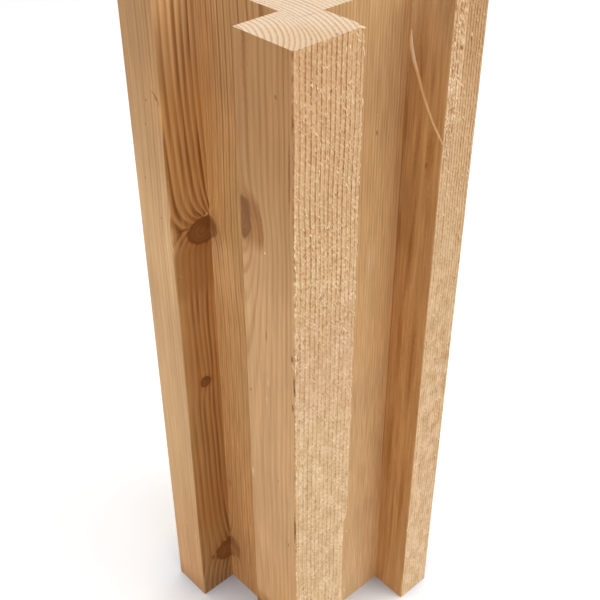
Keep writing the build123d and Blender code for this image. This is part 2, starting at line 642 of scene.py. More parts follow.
wall_marks = [
    (-63.8, 348.6, 84.0, 1.5, 5.6, 0.7, 0.9, (0.50, 0.38, 0.28)),
    (-58.5, 357.0, 25.0, 0.8, 5.5, 0.7, 0.8, (0.62, 0.48, 0.36)),
    (-54.6, 356.5, 30.0, 0.8, 5.0, 0.7, 0.8, (0.62, 0.48, 0.36)),
    (-51.0, 355.2, 38.0, 0.8, 4.5, 0.7, 0.8, (0.62, 0.48, 0.36)),
    (-69.0, 316.5, 45.0, 0.5, 5.0, 0.6, 0.7, (1.3, 1.5, 1.8)),
    (-70.0, 490.0, 0.0, 3.0, 14.0, 0.8, 0.7, (1.12, 1.2, 1.35)),
    (-61.2, 37.5, 0.0, 2.4, 4.4, 0.8, 0.9, (0.50, 0.42, 0.36)),
]
left_floor_marks = [
    (36.0, 112.0, 0.0, 3.2, 7.0, 0.9, 0.8, (0.88, 0.66, 0.50)),
    (34.0, 37.0, 20.0, 3.6, 8.0, 0.7, 0.8, (0.88, 0.95, 1.14)),
]
floor_marks = [
    (19.5, 417.0, 0.0, 0.9, 2.2, 0.6, 0.9, dark),
    (20.0, 428.0, 0.0, 0.7, 1.0, 0.6, 0.9, pale),
    (38.5, 424.0, 0.0, 0.7, 1.0, 0.6, 0.9, pale),
    (20.0, 327.0, 0.0, 6.5, 17.0, 0.9, 0.6, (1.04, 1.16, 1.38)),
]
far_marks = [
    (-68.5, 505.0, 0.0, 6.0, 40.0, 0.9, 0.9, (0.80, 0.74, 0.70)),
    (-44.5, 482.0, 0.0, 4.0, 30.0, 0.9, 0.9, (1.28, 1.42, 1.65)),
    (-43.2, 416.0, 0.0, 2.2, 26.0, 0.8, 1.0, band),
    (-43.3, 342.0, 0.0, 2.4, 24.0, 0.8, 1.0, band),
    (-51.4, 457.0, 5.0, 2.0, 26.0, 0.9, 0.8, band),
    (-53.7, 407.0, -2.4, 2.3, 35.0, 0.9, 0.9, band),
    (-53.7, 330.0, -2.6, 2.7, 52.0, 0.9, 0.9, band),
    (-63.5, 402.0, 0.0, 4.2, 25.0, 0.8, 1.0, band),
    (-65.7, 362.0, 0.0, 3.2, 28.0, 0.9, 0.7, band),
    (-60.8, 450.0, 2.0, 2.6, 20.0, 0.9, 0.7, (0.80, 0.75, 0.68)),
    (-62.5, 245.0, 0.0, 4.2, 62.0, 0.9, 1.0, band),
    (-50.5, 252.0, 1.0, 3.0, 52.0, 0.9, 1.0, band),
    (-48.5, 150.0, 0.0, 3.0, 62.0, 0.9, 0.9, band),
    (-63.5, 118.0, 0.0, 3.6, 62.0, 0.9, 0.8, band),
    (-55.5, 70.0, 0.0, 2.6, 52.0, 0.9, 0.6, band),
    (-58.5, 404.0, 0.0, 2.2, 30.0, 0.9, 0.7, light_band),
    (-60.0, 330.0, -4.0, 2.8, 44.0, 0.9, 0.8, light_band),
    (-47.5, 395.0, 0.0, 2.2, 30.0, 0.9, 0.5, light_band),
    (-57.0, 220.0, 0.0, 2.6, 50.0, 0.9, 1.0, light_band),
    (-61.2, 394.4, 0.0, 1.0, 2.8, 0.6, 0.9, (0.6, 0.5, 0.4)),
]
sawn_marks = [
    (-47.3, 472.6, 0.0, 1.0, 1.6, 0.6, 1.0, (0.52, 0.40, 0.30)),
    (-48.8, 469.6, 0.0, 0.8, 1.7, 0.6, 1.0, (1.30, 1.42, 1.60)),
    (-46.0, 474.6, 0.0, 0.9, 1.0, 0.6, 1.0, (1.25, 1.35, 1.50)),
    (52.3, 468.0, 30.0, 1.5, 2.3, 0.7, 1.0, (0.40, 0.31, 0.24)),
    (50.2, 455.0, 0.0, 0.9, 2.2, 0.7, 0.8, brown),
    (57.5, 488.0, 10.0, 0.9, 3.0, 0.7, 0.8, (0.60, 0.50, 0.42)),
    (-70.2, 316.5, 0.0, 1.1, 3.4, 0.6, 1.0, (0.42, 0.32, 0.24)),
    (-71.3, 306.0, 0.0, 1.0, 5.0, 0.6, 0.8, brown),
]
end_marks = [
    (-34.6, -42.6, 10.6, 10.5, 0.65, 0.8, 0.9, grey),
    (-42.5, -70.5, 0.0, 2.6, 1.3, 0.9, 0.7, grey),
    (-42.5, -71.2, 20.0, 1.0, 0.6, 0.5, 0.9, (0.45, 0.5, 0.7)),
    (-24.9, -55.0, 0.0, 1.0, 1.0, 0.9, 0.9, grey),
    (-26.5, -69.5, 0.0, 1.8, 1.4, 0.9, 0.6, grey),
    (-36.6, -62.5, -20.0, 2.0, 0.5, 0.7, 0.8, (0.72, 0.6, 0.5)),
]


def make_planed(colours):
    """The planed faces, with their knots and the torn front arris."""
    w = Finish("planed timber")
    y, z = w.y, w.z
    near = w.drop(y, -20.0, 10.0)
    other = w.less(near)
    share = w.sum(near, w.times(other, w.fade(y, 46.0, 60.0, 0.9, 0.35)))
    w.timber(colours.spring_wood, colours.summer_wood, (0.55, 0.78), 0.07, 0.06, share=share)
    w.tint(near, (0.95, 0.905, 0.84))
    # The tints by height below are partly the timber's own tone and partly painted shade: darker towards the
    # top, where less light falls, and a painted contact shadow at the very foot.
    w.tint(w.times(other, w.fade(z, 430.0, 480.0)), (0.88, 0.87, 0.83))
    w.tint(w.drop(z, 80.0, 180.0), (0.99, 0.945, 0.88))
    w.tint(w.times(near, w.fade(z, 330.0, 400.0)), (0.90, 0.885, 0.86))
    w.height_light_and_tone(350.0, 450.0, (0.85, 0.78, 0.72))
    w.height_light_and_tone(140.0, 20.0, (0.97, 0.92, 0.90))
    w.height_light_and_tone(24.0, 4.0, (0.86, 0.82, 0.80))
    # Near the front arris, above the foot: pale spots of torn fibre, and dark spots of painted shadow beside
    # them.
    bits = w.spots(0.6, 0.35)
    arris = w.times(w.drop(y, -71.9, -70.3), w.fade(z, 90.0, 160.0))
    w.tint(w.times(arris, w.fade(bits, 0.54, 0.62)), (1.22, 1.30, 1.42))
    w.tint(w.times(arris, w.drop(bits, 0.36, 0.45)), (0.70, 0.60, 0.50))
    w.mark(planed_marks, 0, outer_face)
    w.knots(colours.planed_knot, colours.planed_knot, 0.9, 0.85)
    w.finish_cut(0.62, 0.74, 0.5, 0.5)


def make_left_floor(colours):
    """The floor of the left groove, calmer beside the large knot and paler below it."""
    w = Finish("left groove floor")
    y, z = w.y, w.z
    calm = w.times(w.fade(y, 24.0, 31.0), w.within(z, 335.0, 352.0, 450.0, 500.0))
    share = w.less(calm, 0.7)
    w.timber(colours.left_floor, colours.floor_lines, (0.65, 1.4), 0.16, 0.05, "Lines", share=share)
    beside = w.times(w.fade(y, 20.0, 34.0), w.within(z, 335.0, 365.0, 450.0, 495.0))
    w.tint(beside, (1.03, 0.97, 0.88))
    below = w.times(w.fade(y, 8.0, 24.0), w.within(z, 275.0, 310.0, 325.0, 345.0))
    w.tint(below, (1.17, 1.22, 1.38))
    # The tints by height below are partly the timber's own tone and partly painted shade; the darkening at
    # the foot is a painted contact shadow.
    w.height_light_and_tone(350.0, 440.0, (0.91, 0.89, 0.94))
    w.height_light_and_tone(240.0, 60.0, (1.0, 0.93, 0.88))
    w.tint(w.drop(z, 60.0, 100.0), (0.95, 0.94, 0.95))
    w.mark(left_floor_marks, 0, groove_floor)
    w.knots(colours.knot, colours.knot_rim, w.fade(z, 60.0, 120.0, 0.45, 0.68))
    w.finish_cut(0.62, 0.74, 0.5, 0.5)


def make_right_floor(colours):
    """The floor of the right groove, with painted shade in its far corner."""
    w = Finish("right groove floor")
    x, z = w.x, w.z
    w.timber(colours.right_floor, colours.floor_lines, (0.22, 0.5), 0.15, 0.045)
    # The tints by height below are partly the timber's own tone and partly painted light and shade: darker
    # towards the top, and paler and cooler towards the foot, where the floor's bounce light falls.
    w.height_light_and_tone(330.0, 430.0, (0.84, 0.81, 0.79))
    w.height_light_and_tone(425.0, 475.0, (1.06, 1.08, 1.11))
    w.height_light_and_tone(280.0, 190.0, (1.02, 1.07, 1.16))
    w.height_light_and_tone(110.0, 20.0, (1.09, 1.14, 1.22))
    w.tint(w.fade(x, 18.0, 38.0), (1.07, 1.05, 1.03))
    w.tint(w.fade(x, 34.0, 43.0), (0.99, 0.93, 0.86))
    w.tint(w.times(w.fade(x, 8.0, 30.0), w.drop(z, 200.0, 300.0)), (0.97, 0.94, 0.90))
    # Painted shade in the far corner, where the floor meets the far wall.
    corner = w.times(w.fade(x, 42.1, 43.2), w.within(z, 90.0, 160.0, 420.0, 470.0))
    w.tint(corner, (0.62, 0.48, 0.36))
    w.mark(floor_marks, 1, groove_floor)
    w.finish_cut(0.62, 0.74, 0.5, 0.5)


def make_near_wall(colours):
    """The walls that the cutter rubbed, with broad lines that bend round the knots."""
    w = Finish("rubbed groove wall")
    x, z = w.x, w.z
    below = w.within(z, 290.0, 306.0, 328.0, 340.0)
    outer = w.times(w.drop(x, -68.5, -63.5), w.within(z, 170.0, 220.0, 336.0, 350.0))
    calm = w.math("MAXIMUM", w.times(below, 0.7), w.times(outer, 0.6))
    uneven = w.noise(w.place, (0.23, 0.0, 0.009), 2.0, 0.6, (3.1, 0.0, 0.7))
    share = w.times(w.less(calm), w.fade(uneven, 0.36, 0.62, 0.55, 1.3))
    w.timber(colours.wall_wood, colours.wall_lines, (0.70, 0.95), 0.035, 0.05, "Broad", share=share)
    w.tint(outer, (1.0, 1.06, 1.14))
    w.tint(w.times(w.drop(x, -71.8, -68.6), w.fade(z, 424.0, 456.0)), (0.76, 0.70, 0.70))
    w.tint(below, (0.80, 0.73, 0.64))
    # The tints by height below are partly the timber's own tone and partly painted light and shade: the wall
    # darkens downwards as shade deepens in the groove, grows paler and cooler near the foot where the floor's
    # bounce light falls, and carries a painted contact shadow at the very foot.
    w.tint(w.fade(z, 345.0, 385.0), (1.10, 1.11, 1.06))
    w.tint(w.fade(z, 425.0, 470.0), (0.98, 1.07, 1.31))
    w.tint(w.drop(z, 180.0, 235.0), (0.96, 1.05, 1.17))
    w.tint(w.drop(z, 100.0, 160.0), (0.99, 0.94, 0.87))
    w.tint(w.drop(z, 45.0, 90.0), (1.0, 1.12, 1.28))
    w.height_light_and_tone(380.0, 120.0, (0.90, 0.81, 0.66))
    w.height_light_and_tone(34.0, 6.0, (0.84, 0.84, 0.90))
    w.mark(wall_marks, 1, left_groove_wall)
    w.knots(colours.knot, colours.knot_rim, 1.0)
    w.finish_cut(0.5, 0.62, 0.3, 0.5)


def make_far_wall(colours):
    """The right groove's far wall, where the rings are cut along and wander."""
    w = Finish("far groove wall")
    wander = w.noise(w.place, (0.0, 0.026, 0.017), 1.0, 0.4)
    place = w.shifted(w.place, 1, w.math("MULTIPLY_ADD", wander, 26.0, -13.0))
    w.timber(colours.far_wall, colours.wall_lines, (0.16, 0.16), 0.11, 0.08, place=place)
    # The tints by height below are partly the timber's own tone and partly painted light and shade, darker
    # towards the top.
    w.height_light_and_tone(180.0, 360.0, (0.915, 0.935, 0.965))
    w.height_light_and_tone(430.0, 500.0, (0.98, 1.02, 1.20))
    w.mark(far_marks, 0, right_groove_wall)
    w.finish_cut(0.5, 0.62, 0.3, 0.3)


def make_sawn(colours):
    """The rough sawn faces: broken lines, fuzz, and the relief of the mesh."""
    w = Finish("rough sawn timber")
    w.read_grain(w.place)
    x, z = w.x, w.z
    rings, fibres = w.rings, w.fibres
    fuzz = w.group("saw fuzz", [("Millimetres", w.place)])

    # The far face is quieter than the near one, apart from tufts beside the groove at its top.
    far = w.fade(x, 10.0, 30.0)
    tufted = w.times(far, w.drop(x, 49.0, 56.0), w.fade(z, 380.0, 430.0))
    strong = w.sum(w.times(w.fade(z, 280.0, 420.0, 0.76, 0.95), w.less(far, 0.35)), tufted)
    quiet = w.times(far, w.drop(z, 230.0, 340.0))
    strong = w.times(w.math("MINIMUM", strong, 1.3), w.less(quiet, 0.45))

    # Dark lines of summer wood, broken up by the saw.
    kept = w.fade(z, 300.0, 390.0, 0.3, 0.72)
    broken = w.fade(w.spots(0.5, 0.34), 0.36, 0.60, kept, 1.2)
    line_strength = w.times(w.fade(z, 250.0, 400.0, 0.5, 1.12), w.less(far, 0.05), broken)
    lines = w.math("MULTIPLY_ADD", rings["Summer"], 0.5, w.times(rings["Lines"], 0.6))
    line_colour = [a * b for a, b in zip(colours.sawn_face, (0.64, 0.47, 0.29))]
    w.base = colour(colours.sawn_face)
    w.cover(w.times(lines, line_strength), colour(line_colour))

    # The relief of the mesh: paler crests and brown hollows, painted light and shade that follow the mesh
    # depth.
    depth = w.add("ShaderNodeAttribute", output=2, attribute_name="saw depth", attribute_type="GEOMETRY")
    w.shade(w.blend(w.fade(depth, 0.0, 1.0), (1.09, 1.09, 1.09, 1.0), (0.80, 0.66, 0.47, 1.0)))
    w.shade(w.fade(fibres["Streaks"], 0.25, 0.75, 0.94, 1.06))
    coarse = w.spots(0.42, 0.13, 3.0, 0.65)
    w.tint(w.times(tufted, w.drop(coarse, 0.40, 0.50)), (0.70, 0.57, 0.43))
    lumpy = w.times(w.within(z, 290.0, 330.0, 390.0, 440.0), w.less(far, 0.6))
    w.tint(w.times(lumpy, w.drop(w.spots(0.5, 0.36), 0.36, 0.46)), (0.82, 0.71, 0.57))

    # Painted shade in the pits of the fuzz, and pale tufts that are partly torn fibre and partly painted
    # highlights.
    w.tint(w.times(fuzz["Pit shade"], strong, 0.8), (0.66, 0.51, 0.35))
    w.cover(w.times(fuzz["Light"], strong, 0.9), colour(colours.torn_fibre))

    # Wide tones: mottling and stains of age and dirt, and tints by height that are partly the timber's own
    # tone and partly painted light and shade, darker towards the top and paler towards the foot, where the
    # floor's bounce light falls.
    mottled = w.fade(w.spots(0.14, 0.08, 3.0), 0.36, 0.64)
    mottled = w.blend(mottled, (0.90, 0.86, 0.80, 1.0), (1.08, 1.11, 1.15, 1.0))
    w.base = w.blend(w.fade(z, 280.0, 400.0, 0.9, 0.3), w.base, mottled, "MULTIPLY")
    stained = w.fade(w.spots(0.16, 0.09, 3.0), 0.50, 0.60)
    w.tint(w.times(far, w.within(z, 110.0, 150.0, 250.0, 330.0), stained), (0.89, 0.83, 0.73))
    w.tint(far, (0.97, 0.965, 0.955))
    w.tint(w.times(far, w.drop(x, 53.5, 57.0), w.fade(z, 395.0, 440.0)), (1.13, 1.20, 1.32))
    w.tint(w.times(far, w.fade(x, 53.5, 57.0), w.fade(z, 420.0, 465.0)), (0.90, 0.87, 0.84))
    w.tint(w.times(w.less(far), w.within(z, 240.0, 275.0, 325.0, 360.0)), (0.955, 0.925, 0.93))
    w.tint(w.times(far, w.drop(z, 150.0, 300.0)), (1.08, 1.09, 1.14))
    w.height_light_and_tone(330.0, 510.0, (0.90, 0.815, 0.73))
    w.height_light_and_tone(140.0, 20.0, (1.045, 1.07, 1.085))
    w.mark(sawn_marks, 1, outer_face)
    height = w.sum(w.times(fibres["Streaks"], 0.4), fuzz["Relief"], w.times(rings["Lines"], -0.35))
    w.finish(0.85, height, 0.0008)


def make_end_grain(colours):
    """The sawn ends, with frayed rings and pores."""
    w = Finish("sawn end grain")
    frayed = w.noise(w.place, (0.9,) * 3, 3.0, 0.6)
    w.place = w.shifted(w.place, 0, w.math("MULTIPLY_ADD", frayed, 2.2, -1.1))
    x, y = w.split(w.place)[:2]
    rings = w.group("growth rings", [("Millimetres", w.place)])
    torn = w.fade(w.spots(1.1, 1.1, 3.0, 0.65), 0.36, 0.62, 0.45, 1.3)
    lines = w.math("MULTIPLY_ADD", rings["Summer"], 0.4, w.times(rings["Sharp"], 0.75))
    line_colour = [a * b for a, b in zip(colours.end_grain, (0.70, 0.53, 0.36))]
    w.base = colour(colours.end_grain)
    w.cover(w.times(lines, torn), colour(line_colour))
    pores = w.spots(2.2, 2.2)
    w.shade(w.fade(pores, 0.3, 0.7, 0.90, 1.07))
    w.tint(w.fade(w.spots(0.10, 0.10, 2.0, 0.5), 0.40, 0.62), (0.985, 1.02, 1.08))
    right = w.fade(w.minus(x, y), -36.0, 0.0, 0.25, 1.0)
    w.tint(w.times(w.drop(w.sum(x, y), -120.0, -84.0), right), (0.93, 0.86, 0.76))
    w.mark(end_marks, 2, top_end)
    w.finish(0.85, w.sum(pores, rings["Summer"]), 0.00015)


def make_torn_fibre(colours):
    """Torn fibres and splinters, each with a tone of its own."""
    w = Finish("torn fibre")
    tone = w.add("ShaderNodeAttribute", output=2, attribute_name="tone", attribute_type="GEOMETRY")
    streaks = w.spots(1.6, 0.09)
    w.base = colour([a * b for a, b in zip(colours.sawn_face, (1.10, 0.96, 0.68))])
    w.cover(w.fade(tone, 0.5, 1.1), colour(colours.torn_fibre))
    w.shade(w.fade(streaks, 0.3, 0.7, 0.92, 1.06))
    w.finish(0.8, streaks, 0.0001)


# The finishes of the timber, in the order of its material slots.
timber_finishes = [
    "planed timber",
    "left groove floor",
    "rubbed groove wall",
    "rough sawn timber",
    "sawn end grain",
    "right groove floor",
    "far groove wall",
]


def ready_finishes(colours):
    """Makes the node groups and the finishes once, and returns those of the timber in slot order."""
    if timber_finishes[0] not in bpy.data.materials:
        make_branch_group()
        make_rings_group()
        make_fibre_group()
        make_speck_group()
        make_fuzz_group()
        make_planed(colours)
        make_left_floor(colours)
        make_near_wall(colours)
        make_sawn(colours)
        make_end_grain(colours)
        make_right_floor(colours)
        make_far_wall(colours)
        make_torn_fibre(colours)
    return [bpy.data.materials[name] for name in timber_finishes]


# Wood lost from arrises: depth below the top, width lost on the front face, width lost round the corner.
knocked_top_corner = [(-2.0, 7.4, 10.8), (0.0, 5.6, 8.2), (6.0, 0.9, 1.2)]
worn_right_arris = [
    (343.0, 1.0, 0.9),
    (358.0, 8.2, 3.2),
    (388.0, 8.8, 3.6),
    (418.0, 7.4, 3.2),
    (448.0, 5.0, 2.4),
    (478.0, 1.0, 0.9),
]
torn_front_arris = [(179.0, 0.9, 1.0), (187.0, 3.1, 3.9), (195.0, 2.4, 2.8), (203.0, 0.9, 1.0)]
split_front_arris = [(310.0, 0.9, 0.9), (321.0, 1.2, 1.9), (332.0, 1.2, 1.8), (343.0, 0.9, 0.9)]
hollow = 0.12


def lost_widths(rows, below):
    """Widths lost at a depth below the top, or None outside the stretch."""
    for (a, across_a, around_a), (b, across_b, around_b) in zip(rows, rows[1:]):
        if a <= below <= b:
            t = smooth(below, a, b)
            return across_a + (across_b - across_a) * t, around_a + (around_b - around_a) * t
    return None


def cut_back(inward, around, rows, below):
    """Moves a point of an arris on to the surface left by the loss, and says how lost it is."""
    widths = lost_widths(rows, below)
    if widths is None:
        return inward, around, 0.0
    across, corner = widths
    inside = 1.0 - inward / across - around / corner
    if inside <= 0.0 or min(inward, around) > 0.85:
        return inward, around, 0.0
    t = clamp(0.5 + 0.5 * (inward / across - around / corner))
    new_inward = 2.0 * t * (1.0 - t) * across * hollow + t * t * across
    new_around = (1.0 - t) * (1.0 - t) * corner + 2.0 * t * (1.0 - t) * corner * hollow
    return new_inward, new_around, clamp(inside * 3.0)


def worn(section, x, y, below):
    """Where a point of the near block lies after all losses, and how lost it is."""
    lost = 0.0
    arrises = [
        (section.right_start, -1.0, (knocked_top_corner, worn_right_arris)),
        (-section.half, 1.0, (torn_front_arris, split_front_arris)),
    ]
    for arris, inwards, losses in arrises:
        if lost == 0.0:
            inward = (x - arris) * inwards
            around = y + section.half
            for rows in losses:
                inward, around, gone = cut_back(inward, around, rows, below)
                lost = max(lost, gone)
            x = arris + inward * inwards
            y = around - section.half
    return x, y, lost


# Dents in the left faces: place across, height, lean in degrees, half width, half height, depth.
dents = [
    (43.6, 438.0, 38.0, 1.4, 5.0, 0.8),
    (-30.2, 195.0, 0.0, 2.0, 5.5, 0.5),
    (-59.1, 473.0, 0.0, 1.2, 2.4, 0.3),
    (-47.5, 320.0, 0.0, 1.0, 5.5, 0.25),
    (-69.9, 278.5, 0.0, 1.0, 4.0, 0.4),
]


def dented(y, z):
    """Depth of the dents at a point of the left faces."""
    depth = 0.0
    for middle, level, lean, broad, tall, deep in dents:
        angle = math.radians(lean)
        across = (y - middle) * math.cos(angle) - (z - level) * math.sin(angle)
        along = (y - middle) * math.sin(angle) + (z - level) * math.cos(angle)
        away = math.hypot(across / broad, along / tall)
        depth = max(depth, deep * (1.0 - smooth(away, 0.3, 1.2)))
    return depth


class Section:
    """The post's section in millimetres, from the add-on's sizes."""

    def __init__(self, sizes):
        self.half = sizes.side / mm / 2.0
        self.height = sizes.height / mm
        self.deep = -self.half + sizes.groove_depth / mm
        self.left_start = -self.half + sizes.left_land / mm
        self.left_end = self.left_start + sizes.groove_width / mm
        self.right_start = -self.half + sizes.right_land / mm
        self.right_end = self.right_start + sizes.groove_width / mm
        self.arris = sizes.arris_radius / mm
        self.tip = sizes.cutter_radius / mm

    def corners(self):
        """Corner points in order, and whether each is an inner groove corner."""
        h = self.half
        return [
            ((-h, -h), False),
            ((self.right_start, -h), False),
            ((self.right_start, self.deep), True),
            ((self.right_end, self.deep), True),
            ((self.right_end, -h), False),
            ((h, -h), False),
            ((h, h), False),
            ((-h, h), False),
            ((-h, self.left_end), False),
            ((self.deep, self.left_end), True),
            ((self.deep, self.left_start), True),
            ((-h, self.left_start), False),
        ]


def plan_tears(count, seed, low_x, high_x, height):
    """Chooses where the saw tore the face: centre, slant, length, half width, depth."""
    rng = random.Random(seed)
    tears = []
    for index in range(count):
        x = rng.uniform(low_x, high_x)
        z = height * (1.0 - rng.random() ** 0.85)
        slant = rng.uniform(0.25, 0.75)
        if rng.random() < 0.45:
            slant = rng.uniform(-0.08, 0.12)
        tears.append((x, z, slant, rng.uniform(2.2, 6.5), rng.uniform(0.45, 0.95), rng.uniform(0.25, 0.6)))
    return tears


def face_tears(sizes):
    """The tears of the near sawn face and of the far one."""
    section = Section(sizes)
    near_count = int(sizes.tears * 0.66)
    far_count = int(sizes.tears * 0.34)
    near = plan_tears(near_count, 11, -section.half, section.right_start, section.height)
    far = plan_tears(far_count, 23, section.right_end, section.half, section.height)
    return near, far


# The relief is drawn for this saw depth. Where wood is lost, it is smoothed towards one depth.
drawn_saw_depth = 0.6
worn_relief = 0.25

# Depths of the relief between which its painted light and shade go from crest to hollow.
crest = 0.12
deepest = 0.87


class SawnFace:
    """Relief of a rough sawn face, in millimetres below the highest fibres."""

    band_height = 10.0

    def __init__(self, tears):
        self.bands = {}
        for tear in tears:
            z, reach = tear[1], tear[3]
            first = int((z - reach) // self.band_height) - 1
            last = int((z + 2.0) // self.band_height) + 1
            for band in range(first, last + 1):
                self.bands.setdefault(band, []).append(tear)

    def depth(self, x, y, z):
        """Rings, broken lines and fuzz, and then the torn places."""
        counted = ring_number(x, y, z) + summer_part
        part = counted - math.floor(counted)
        line = smooth(part, 0.36, 0.62) * (1.0 - smooth(part, 0.72, 0.92))
        second = smooth(part, 0.04, 0.16) * (1.0 - smooth(part, 0.20, 0.34))
        broken = clamp(0.65 + 0.8 * noise.noise(Vector((x * 0.4, z * 0.04, 7.0))), 0.2, 1.0)
        streak = noise.noise(Vector((x * 1.3, z * 0.05, 3.1)))
        lean_x = (x * 0.80 + z * 0.60) * 0.85
        lean_z = (z * 0.80 - x * 0.60) * 0.26
        torn = noise.noise(Vector((lean_x, lean_z, 5.0)))
        rough = noise.noise(Vector((x * 0.6, z * 0.42, 11.0)))
        value = 0.26 + 0.24 * line * broken + 0.10 * second * broken - 0.10 * streak
        value += 0.20 * torn + 0.14 * rough
        for tear_x, tear_z, slant, reach, half, deep in self.bands.get(int(z // self.band_height), ()):
            down = (tear_z - z) / reach
            side = (x - tear_x - (tear_z - z) * slant) / half
            if not -0.35 < down < 1.0 or abs(side) >= 1.3:
                continue
            if down < 0.0:
                value -= 0.4 * deep * (1.0 + down / 0.35) * max(0.0, 1.0 - side * side / 1.69)
            else:
                value += deep * (1.0 - down) ** 0.8 * max(0.0, 1.0 - side * side)
        return max(0.03, value)


# Columns of each side, in the order of the corners: fine reach and columns at its start,
# columns in the middle, fine reach and columns at its end.
side_columns = [
    (0.0, 0, 76, 0.0, 0),
    (12.0, 12, 4, 2.0, 1),
    (2.0, 1, 12, 2.0, 1),
    (2.0, 1, 8, 4.0, 4),
    (0.0, 0, 40, 0.0, 0),
    (3.0, 2, 10, 3.0, 2),
    (3.0, 2, 10, 3.0, 2),
    (3.0, 2, 6, 8.0, 8),
    (8.0, 8, 5, 2.0, 1),
    (2.0, 1, 12, 2.0, 1),
    (2.0, 1, 4, 4.0, 4),
    (6.0, 6, 10, 10.0, 12),
]


def make_mesh(bm, name, size=mm):
    """Brings a finished shape to its size and turns it into a mesh."""
    bmesh.ops.scale(bm, vec=(size,) * 3, verts=bm.verts[:])
    mesh = bpy.data.meshes.new(name)
    bm.to_mesh(mesh)
    bm.free()
    return mesh


def split_at(edge, start, reach):
    """Splits an edge at a distance from its start. Returns the near part, the far part and the new vertex."""
    vert = bmesh.utils.edge_split(edge, start, reach / edge.calc_length())[1]
    near = [e for e in vert.link_edges if e.other_vert(vert) is start][0]
    far = [e for e in vert.link_edges if e is not near][0]
    return near, far, vert


def draw_outline(bm, section):
    """Draws the rounded section as a ring of edges, divided into columns."""
    corners = section.corners()
    points = [Vector((x, y, 0.0)) for (x, y), is_inner in corners]
    verts = [bm.verts.new(point) for point in points]
    bm.faces.new(verts)
    outer = [vert for vert, (point, is_inner) in zip(verts, corners) if not is_inner]
    inner = [vert for vert, (point, is_inner) in zip(verts, corners) if is_inner]
    for group, radius in ((outer, section.arris), (inner, section.tip)):
        bmesh.ops.bevel(
            bm,
            geom=group,
            offset=radius,
            offset_type="OFFSET",
            segments=3,
            profile=0.5,
            affect="VERTICES",
            material=-1,
        )
    bmesh.ops.delete(bm, geom=bm.faces[:], context="FACES_ONLY")
    for index, (reach_a, fine_a, middle, reach_b, fine_b) in enumerate(side_columns):
        point = points[index]
        centre = (point + points[(index + 1) % len(points)]) / 2.0
        edge = min(bm.edges, key=lambda e: ((e.verts[0].co + e.verts[1].co) / 2.0 - centre).length)
        start = min(edge.verts, key=lambda v: (v.co - point).length)
        parts = []
        if fine_a:
            near, edge, start = split_at(edge, start, reach_a)
            parts.append((near, fine_a))
        if fine_b:
            near, far, start = split_at(edge, start, edge.calc_length() - reach_b)
            parts.append((near, middle))
            parts.append((far, fine_b))
        else:
            parts.append((edge, middle))
        for part, columns in parts:
            if columns > 1:
                bmesh.ops.subdivide_edges(bm, edges=[part], cuts=columns - 1)


def near_sawn(section, x, y):
    """True on the sawn faces and on the stretches of their neighbours that wear reaches."""
    if y < -section.half + 0.9:
        return True
    if x < -section.half + 0.9 and section.left_end < y < section.left_end + 8.1:
        return True
    if section.right_start - 1.0 < x < section.right_start + 0.1 and y < -section.half + 12.1:
        return True
    return x < -section.half + 0.1 and y < -section.half + 10.2


def close_end(bm, level):
    """Closes one end with a flat face."""
    rim = [e for e in bm.edges if e.is_boundary and all(abs(v.co.z - level) < 0.01 for v in e.verts)]
    bmesh.ops.contextual_create(bm, geom=rim)


def draw_timber(section, row_height):
    """The section drawn out to the post's height in rows, with both ends closed."""
    bm = bmesh.new()
    draw_outline(bm, section)
    rows = max(20, round(section.height / row_height))
    bmesh.ops.spin(
        bm,
        geom=bm.verts[:] + bm.edges[:],
        cent=nowhere,
        axis=(0.0, 0.0, 1.0),
        dvec=(0.0, 0.0, section.height / rows),
        angle=0.0,
        steps=rows,
        use_duplicate=False,
    )
    bmesh.ops.remove_doubles(bm, verts=bm.verts[:], dist=0.0005)
    upright = []
    for edge in bm.edges:
        a, b = edge.verts
        if abs(a.co.z - b.co.z) > 1.0 and near_sawn(section, a.co.x, a.co.y):
            upright.append(edge)
    bmesh.ops.subdivide_edges(bm, edges=upright, cuts=1)
    close_end(bm, 0.0)
    close_end(bm, section.height)
    bmesh.ops.recalc_face_normals(bm, faces=bm.faces[:])
    return bm


def wear_timber(bm, section, sizes):
    """Cuts the losses back, and gives the sawn faces and the dents their depth."""
    h = section.half
    near_face, far_face = [SawnFace(tears) for tears in face_tears(sizes)]
    depth_layer = bm.verts.layers.float.new("saw depth")
    for vert in bm.verts:
        x, y, z = vert.co
        below = section.height - z
        lost = 0.0
        if x < section.right_start + 0.01 and y < section.deep:
            x, y, lost = worn(section, x, y, below)
        share = clamp((-h + section.arris - y) / section.arris)
        if share > 0.0:
            face = near_face if x < section.right_start + 0.1 else far_face
            relief = face.depth(x, -h, z)
            relief = relief * (1.0 - lost) + worn_relief * lost
            # The depth that the sawn finish paints as light on the crests and shade in the hollows, less
            # where wood is lost.
            shown = clamp((relief - crest) / (deepest - crest))
            vert[depth_layer] = shown * share * (1.0 - 0.6 * lost)
            at_ends = min(1.0, 0.35 + z / 6.0, 0.35 + below / 6.0)
            y += relief * share * sizes.saw_depth / mm / drawn_saw_depth * at_ends
        if x < -h + 0.4:
            x += dented(y, z)
        vert.co = (x, y, z)


